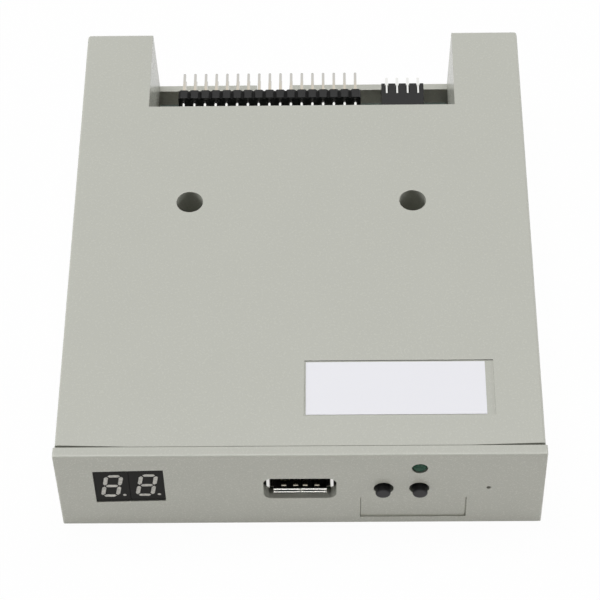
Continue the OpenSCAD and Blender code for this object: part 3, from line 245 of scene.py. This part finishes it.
# Capacitors: two round aluminium cans in shrunk dark blue sleeves, with the
# rolled groove near the foot, soldered upright on the board.
dress(moulded("can_sleeve", linear(36, 40, 58), grain=0.6, rough=0.28), "capacitors")

# Ribbon header: a black glass-filled nylon bar with chamfered cells, through
# which two rows of square wire are pressed, bent down and soldered to the board.
black_nylon = moulded("black_nylon", linear(14, 14, 14), grain=0.2, rough=0.45, gloss=0.3)
dress(black_nylon, "ribbon_header")
soften(0.06, "ribbon_header")
ALONG_WIRE = (1, 0.1, 1)
DIP_EDGE = 0.2 * MM
RUB_START, RUB_FULL = 1.0 * MM, 4.5 * MM


def dipped(name, colour, worn, tinned, header):
    """Plated wire, rubbed pale behind its header, with legs dipped in bright solder before it."""
    front, rear = (corner[1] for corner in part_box(header))
    f = Finish(bpy.data.materials.new(name))
    along = f.add("SeparateXYZ", {"Vector": f.place()}).outputs["Y"]
    leg = f.spread(along, 1.0, 0.0, start=front - DIP_EDGE, end=front)
    tip = f.spread(along, 0.0, 1.0, start=rear + RUB_START, end=rear + RUB_FULL)
    haze, wire = hazed(f, colour, stretch=ALONG_WIRE)
    tone = f.blend(leg, f.blend(tip, wire, worn), tinned)
    return f.close(Base_Color=tone, Metallic=1.0, Roughness=f.spread(haze, 0.06, 0.12))


dress(dipped("dipped_gold", colour=linear(213, 204, 188), worn=linear(201, 199, 194),
             tinned=linear(244, 244, 241), header="ribbon_header"), "ribbon_pins")
soften(0.2, "ribbon_pins")

# Power header: a black comb moulding that hangs over the board's rear edge, with
# four bright tinned pins lying in its slots.
dress(black_nylon, "power_header")
soften(0.08, "power_header")
dress(plated("bright_tin", linear(238, 238, 235), rough=0.08, wave=0.03, stretch=ALONG_WIRE),
      "power_pins")
soften(0.12, "power_pins")

# Solder: a bright collar on a tinned pad round every leg of the ribbon and power
# headers, drawn up by the hot wave.
BOARD_TOP = 9.7 * MM
PAD_RISE = 0.02 * MM
ROUND_SIDES = 20


def collar_tree(metal):
    """A grid of legs, each with a flat pad and a sloped collar of solder."""
    tree = bpy.data.node_groups.new("solder_collars", "GeometryNodeTree")
    tree.interface.new_socket("Geometry", in_out="OUTPUT", socket_type="NodeSocketGeometry")
    sizes = {"Legs Across": ("Int", 17), "Legs Deep": ("Int", 2), "Pitch": ("Float", 2.54 * MM),
             "Pad Radius": ("Float", 0.9 * MM), "Pad Depth": ("Float", 0.06 * MM),
             "Collar Radius": ("Float", 0.72 * MM), "Collar Top": ("Float", 0.46 * MM),
             "Collar Height": ("Float", 0.45 * MM), "Middle": ("Vector", (0, 0, 0))}
    inputs = {}
    for label, (kind, value) in sizes.items():
        socket = tree.interface.new_socket(label, in_out="INPUT", socket_type="NodeSocket" + kind)
        socket.default_value = value
        inputs[label] = socket.identifier
    given = tree.nodes.new("NodeGroupInput").outputs

    def node(kind, sockets, **settings):
        """Adds one node to this tree."""
        return add_node(tree, kind, sockets, **settings)

    def span(count):
        """Length of a row from its first leg to its last."""
        gaps = node("ShaderNodeMath", {0: count, 1: 1.0}, operation="SUBTRACT")
        return node("ShaderNodeMath", {0: gaps.outputs[0], 1: given["Pitch"]},
                    operation="MULTIPLY").outputs[0]

    grid = node("GeometryNodeMeshGrid", {
        "Size X": span(given["Legs Across"]), "Size Y": span(given["Legs Deep"]),
        "Vertices X": given["Legs Across"], "Vertices Y": given["Legs Deep"]})
    pad = node("GeometryNodeMeshCylinder", {
        "Vertices": ROUND_SIDES, "Radius": given["Pad Radius"], "Depth": given["Pad Depth"]})
    collar = node("GeometryNodeMeshCone", {
        "Vertices": ROUND_SIDES, "Side Segments": 1, "Radius Top": given["Collar Top"],
        "Radius Bottom": given["Collar Radius"], "Depth": given["Collar Height"]})
    shape = node("GeometryNodeJoinGeometry", {})
    for solid in (pad, collar):
        tree.links.new(solid.outputs["Mesh"], shape.inputs[0])
    legs = node("GeometryNodeInstanceOnPoints", {
        "Points": grid.outputs["Mesh"], "Instance": shape.outputs[0]})
    moved = node("GeometryNodeTransform", {
        "Geometry": legs.outputs[0], "Translation": given["Middle"]})
    real = node("GeometryNodeRealizeInstances", {"Geometry": moved.outputs[0]})
    painted = node("GeometryNodeSetMaterial", {"Geometry": real.outputs[0], "Material": metal})
    tree.links.new(painted.outputs[0], tree.nodes.new("NodeGroupOutput").inputs[0])
    return tree, inputs


solder = plated("solder", linear(196, 196, 192), rough=0.24, wave=0.08, grain=0.4)
collars, collar_inputs = collar_tree(solder)


def put(name, data):
    """Makes an object of its data and puts it in the scene."""
    made = bpy.data.objects.new(name, data)
    bpy.context.scene.collection.objects.link(made)
    return made


def solder_row(name, across, deep, pitch, x, y):
    """Lays one header's collars on the board as a plain mesh that rides on the case."""
    holder = put(name + "_tree", bpy.data.meshes.new(name + "_tree"))
    wave = holder.modifiers.new("collars", "NODES")
    wave.node_group = collars
    for label, value in (("Legs Across", across), ("Legs Deep", deep), ("Pitch", pitch * MM),
                         ("Middle", (x * MM, y * MM, BOARD_TOP + PAD_RISE))):
        wave[collar_inputs[label]] = value
    bpy.context.view_layer.update()
    set_hard = holder.evaluated_get(bpy.context.evaluated_depsgraph_get())
    mesh = bpy.data.meshes.new_from_object(set_hard)
    mesh.name = name
    holder.modifiers.remove(wave)
    bpy.data.objects.remove(holder)
    for face in mesh.polygons:
        face.use_smooth = abs(face.normal.z) < 0.9
    piece = put(name, mesh)
    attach(piece, "case")


solder_row("ribbon_solder", across=17, deep=2, pitch=2.54, x=-7.87, y=47.39)
solder_row("power_solder", across=4, deep=1, pitch=2.5, x=23.75, y=49.55)

# Jumper block: five pairs of upright gold pins in a black nylon base, with one
# slip-on bridge, which set the drive's number.
dress(black_nylon, "jumper_block", "jumper_cap")
soften(0.08, "jumper_block", "jumper_cap")
pale_gold = plated("pale_gold", linear(208, 201, 188), rough=0.09, wave=0.03, stretch=ALONG_WIRE)
dress(pale_gold, "jumper_pins")
soften(0.12, "jumper_pins")

# USB socket: a bright nickel-plated shell folded from sheet, with flanges rolled
# out round its mouth and an open joint underneath, soldered to the board. Inside
# hangs a black tongue with four gold springs on its underside.
dress(plated("nickel", linear(222, 221, 218), rough=0.06, wave=0.02, grain=2.0), "usb_shell")
dress(moulded("socket_black", linear(22, 22, 23), rough=0.4), "usb_insulator")
dress(plated("spring_gold", linear(253, 246, 231), rough=0.07, wave=0.02), "usb_contacts")

# Push switches: black nylon cups with blackened steel frames, whose legs go
# through the board. In each cup lies a snap dome pressed from thin spring steel,
# which the button flattens.
dress(black_nylon, "switch_bases")
dress(moulded("blackened_steel", linear(16, 16, 17), grain=0.2, rough=0.5, gloss=0.2),
      "switch_frames")
dress(tin, "switch_legs")
dome_steel = plated("dome_steel", linear(200, 200, 197), rough=0.18)
DOME_SHEET = 0.1 * MM
DOME_RINGS = 8
DOME_STEPS = 40


def snap_dome(side):
    """A dished disc of spring steel that rests on its rim."""
    low, high = (Vector(corner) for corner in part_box(side + "_dome"))
    middle = (low + high) / 2
    reach, rise = (high.x - low.x) / 2, high.y - low.y
    bulge = (reach ** 2 + rise ** 2) / (2 * rise)
    hollow = math.sqrt((bulge - DOME_SHEET) ** 2 - (bulge - rise) ** 2)
    rings = range(1, DOME_RINGS + 1)
    outer = [(reach * k / DOME_RINGS, bulge) for k in rings]
    inner = [(hollow * k / DOME_RINGS, bulge - DOME_SHEET) for k in reversed(rings)]
    points = [(middle.x, low.y, middle.z), (middle.x, low.y + DOME_SHEET, middle.z)]
    crown, pit, first = 0, 1, len(points)
    for r, ball in outer + inner:
        back = low.y + bulge - math.sqrt(ball ** 2 - r ** 2)
        for turn in (2 * math.pi * k / DOME_STEPS for k in range(DOME_STEPS)):
            points.append((middle.x + r * math.cos(turn), back, middle.z + r * math.sin(turn)))
    last = len(points) - DOME_STEPS
    faces = []
    for here in range(DOME_STEPS):
        beside = (here + 1) % DOME_STEPS
        faces.append((crown, first + here, first + beside))
        for ring in range(first, last, DOME_STEPS):
            behind = ring + DOME_STEPS
            faces.append((ring + here, behind + here, behind + beside, ring + beside))
        faces.append((pit, last + beside, last + here))
    mesh = bpy.data.meshes.new(side + "_snap_dome")
    mesh.from_pydata(points, [], faces)
    for face in mesh.polygons:
        face.use_smooth = True
    mesh.materials.append(dome_steel)
    dome = put(side + "_snap_dome", mesh)
    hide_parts(side + "_dome")
    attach(dome, "case")
    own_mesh(dome)


snap_dome("left")
snap_dome("right")


# Push buttons: two charcoal pins moulded in matt plastic, with a broken edge at
# the tip. Each slides in its switch's frame and presses the dome. Their sides are painted near
# black, as painted shade.
def shade_sided_pin(name, tip, side):
    """Matt charcoal pin, with painted shade: every face but its flat forward tip is painted near
    black.
    """
    f = Finish(bpy.data.materials.new(name))
    face = f.add("NewGeometry", {}).outputs["Normal"]
    facing = f.add("SeparateXYZ", {"Vector": face}).outputs["Y"]
    # Painted shade: faces turned away from the front go near black, and only the forward tip keeps
    # the charcoal.
    forward_tip = f.spread(facing, 1.0, 0.0, start=-0.95, end=-0.4)
    fine, skin = grained(f, f.place(), grain=0.25, depth=0.004)
    worn = f.blend(fine, shade(tip, 0.85), shade(tip, 1.15))
    return f.close(Base_Color=f.blend(forward_tip, side, worn), Roughness=f.spread(fine, 0.4, 0.5),
                   Normal=skin, Specular_IOR_Level=0.2)


dress(shade_sided_pin("button_charcoal", tip=linear(44, 43, 45), side=linear(14, 14, 15)),
      "left_button", "right_button")
soften(0.12, "left_button", "right_button")


# Status lamp: a small round lamp cast in green tinted resin, on two tinned leads
# bent down to the board. Its flat end fills the hole in the bezel, and painted shade darkens it
# towards the rim.
def clouded(f, spot, size, detail=2.0):
    """Clouds in cast resin, from nought to one."""
    return f.spread(f.noise(spot, size, detail), 0.0, 1.0, start=0.35, end=0.65)


def lens(name, node):
    """Clouded green resin, with painted shade that turns it nearly black towards the rim."""
    low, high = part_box(node)
    to_middle = [-(a + b) / 2 for a, b in zip(low, high)]
    edge = (high[0] - low[0]) / 2
    f = Finish(bpy.data.materials.new(name))
    across = f.add("VectorMath", {0: f.place(Location=to_middle), 1: (1, 0, 1)},
                   operation="MULTIPLY").outputs[0]
    reach = f.add("VectorMath", {0: across}, operation="LENGTH").outputs["Value"]
    # Painted shade: the colour darkens to nearly black towards the rim.
    rim_shade = f.spread(reach, 0.0, 1.0, start=0.72 * edge, end=0.98 * edge)
    cloud = clouded(f, across, 1.1, detail=1.0)
    resin = f.blend(cloud, linear(20, 66, 47), linear(50, 84, 68))
    return f.close(Base_Color=f.blend(rim_shade, resin, linear(12, 20, 16)),
                   Roughness=f.spread(cloud, 0.18, 0.3), Specular_IOR_Level=0.08)


dress(lens("lamp_green", "status_lamp"), "status_lamp")
dress(tin, "lamp_leads")


# Display: two digit modules with matt black faces, the milky resin bars of the
# unlit digits just below them, and the pins to the board behind. A pin strip
# joins that board to the main one.
def milky(name, colour):
    """Cast resin bars, clouded where the light chips show dimly through them."""
    f = Finish(bpy.data.materials.new(name))
    cloud = clouded(f, f.place(), 0.7)
    tone = f.blend(cloud, shade(colour, 0.72), shade(colour, 1.06))
    return f.close(Base_Color=tone, Roughness=f.spread(cloud, 0.35, 0.45), Specular_IOR_Level=0.3)


dress(moulded("digit_black", linear(17, 16, 13), grain=0.12, depth=0.004, rough=0.5, gloss=0.11),
      "left_digit", "right_digit")
soften(0.06, "left_digit", "right_digit")
dress(milky("milky_bars", linear(206, 204, 198)), "digit_segments")
dress(tin, "display_pins")
dress(pale_gold, "link_pins")
dress(black_nylon, "link_strip")

# Screws: low round heads with a cross, driven into the tray's posts. The zinc
# plated front pair holds the board alone, the rear pair the board and the cover,
# from the bottom of the cover's two wells. The rear pair is painted near black, as painted shade
# for those wells.
dress(plated("zinc", linear(190, 192, 194), rough=0.3, wave=0.08), "board_screws")
# Painted shade: the rear pair is coloured near black to darken the bottoms of the wells.
dress(moulded("well_shade_black", linear(30, 30, 31), grain=0.2, rough=0.4), "case_screws")
soften(0.2, "board_screws", "case_screws")

# Front bezel: a flat plate moulded in the case's grey ABS, clipped into the tray
# and tucked under the cover, with clean-cut openings for everything in front.
dress(case_grey, "front_bezel")
soften(0.05, "front_bezel")

# Top cover: the deep upper half of the case in the same grey ABS, with the cable
# bay between two rear ears and two wells for its screws. It snaps into the tray
# and closes on the bezel. The steps round its label are painted darker, as painted shade.
LABEL_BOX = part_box("top_label")
# Box round the label, in millimetres, and the share of painted shade on its steps.
SHADE_REACH = ((-0.6, -0.6, 0.03), (2.0, 0.6, 0.12))
STEP_SHADE = 0.4


def inside(f, spot, low, high):
    """One inside a box of the frame, nought outside it."""
    share = 1.0
    for place, start, end in zip(f.add("SeparateXYZ", {"Vector": spot}).outputs, low, high):
        here = f.reckon("COMPARE", place, (start + end) / 2, (end - start) / 2)
        share = f.reckon("MULTIPLY", here, share)
    return share


def painted_step_shade(f, spot, tone):
    """Painted shade: darkens the recess's steps, which lie in a box round the label."""
    low, high = ([c + d * MM for c, d in zip(corner, reach)]
                 for corner, reach in zip(LABEL_BOX, SHADE_REACH))
    return f.blend(inside(f, spot, low, high), tone, shade(CASE_GREY, STEP_SHADE))


# The cover's grey carries painted shade on the steps round its label.
dress(moulded("step_shaded_grey", CASE_GREY, over=painted_step_shade, **CASE_SKIN), "top_cover")
soften(0.06, "top_cover")

# Label: a plain white film of satin plastic, stuck in the cover's shallow recess
# and a little short of its right end.
dress(moulded("label_film", linear(235, 235, 240), grain=0.2, depth=0.003, rough=0.45,
              mottle=0.008), "top_label")

# Studio: the drive lies on a seamless white sweep under one wide soft box, with a
# card at each side and a low one in front, and a long lens looks down on it. The
# sheet keeps only a faint shadow, as on a product card.
camera_data = bpy.data.cameras.new("long_lens")
camera_data.lens = 142.466
camera_data.sensor_width = 36.0
camera_data.clip_start = 0.02
camera = put("long_lens", camera_data)
camera.location = (0.0084437, -0.3324207, 0.4276529)
camera.rotation_euler = [math.radians(a) for a in (37.93328, 1.00666, 0.27199)]
bpy.context.scene.camera = camera
bpy.context.scene.view_settings.view_transform = "Standard"


def white_to_the_eye(f):
    """One where a camera, mirror or glass ray looks, nought for light that falls on the drive."""
    path = f.add("LightPath", {}).outputs
    eye = f.reckon("MAXIMUM", path["Is Camera Ray"], path["Is Glossy Ray"])
    return f.reckon("MAXIMUM", eye, path["Is Transmission Ray"])


WHITE = (1, 1, 1, 1)
DIM = (0.06, 0.06, 0.06, 1)
room = Finish(bpy.data.worlds.new("white_room"))
bpy.context.scene.world = room.owner
room_light = room.add("Background", {"Color": room.blend(white_to_the_eye(room), DIM, WHITE)})
room.add("OutputWorld", {"Surface": room_light.outputs[0]})


def soft_light(name, watts, size, spot, aim, tint=(1, 1, 1), shine=True):
    """A rectangular soft box aimed at the drive, with or without a mirror image on it."""
    data = bpy.data.lights.new(name, "AREA")
    data.shape = "RECTANGLE"
    data.size, data.size_y = size
    data.energy = watts
    data.color = tint
    lamp = put(name, data)
    lamp.location = spot
    lamp.visible_glossy = shine
    lamp.rotation_euler = (Vector(aim) - Vector(spot)).to_track_quat("-Z", "Y").to_euler()


soft_light("overhead_box", watts=15.8, size=(1.0, 0.7), spot=(-0.03, 0.24, 1.50), aim=(0, 0, 0.02))
for card_name, card_watts, card_x in (("left_card", 6.5, -1.1), ("right_card", 4.7, 1.1)):
    soft_light(card_name, card_watts, size=(0.9, 0.5), spot=(card_x, 0.15, 0.42),
               aim=(0, 0, 0.015), shine=False)
soft_light("front_card", watts=3.65, size=(1.5, 0.06), spot=(0.0, -1.20, 0.032),
           aim=(0, -0.06, 0.012), tint=(1, 0.97, 0.91))

SWEEP = 4.0
SWEEP_DROP = 0.05 * MM
SWEEP_GREY = (0.86, 0.86, 0.86, 1)
SWEEP_GLOW = 0.97
sweep_mesh = bpy.data.meshes.new("white_sweep")
sweep_mesh.from_pydata([(-SWEEP, -SWEEP, 0), (SWEEP, -SWEEP, 0), (SWEEP, SWEEP, 0),
                        (-SWEEP, SWEEP, 0)], [], [(0, 1, 2, 3)])
sweep_mesh.transform(Matrix.Translation((0, 0, -SWEEP_DROP)))
sweep = put("white_sweep", sweep_mesh)
card = Finish(bpy.data.materials.new("white_card"))
paint = card.add("BsdfDiffuse", {"Color": SWEEP_GREY})
glow = card.add("Emission", {"Color": WHITE, "Strength": 1.0})
share = card.reckon("MULTIPLY", white_to_the_eye(card), SWEEP_GLOW)
sheet = card.add("MixShader", {0: share, 1: paint.outputs[0], 2: glow.outputs[0]})
card.add("OutputMaterial", {"Surface": sheet.outputs[0]})
sweep_mesh.materials.append(card.owner)
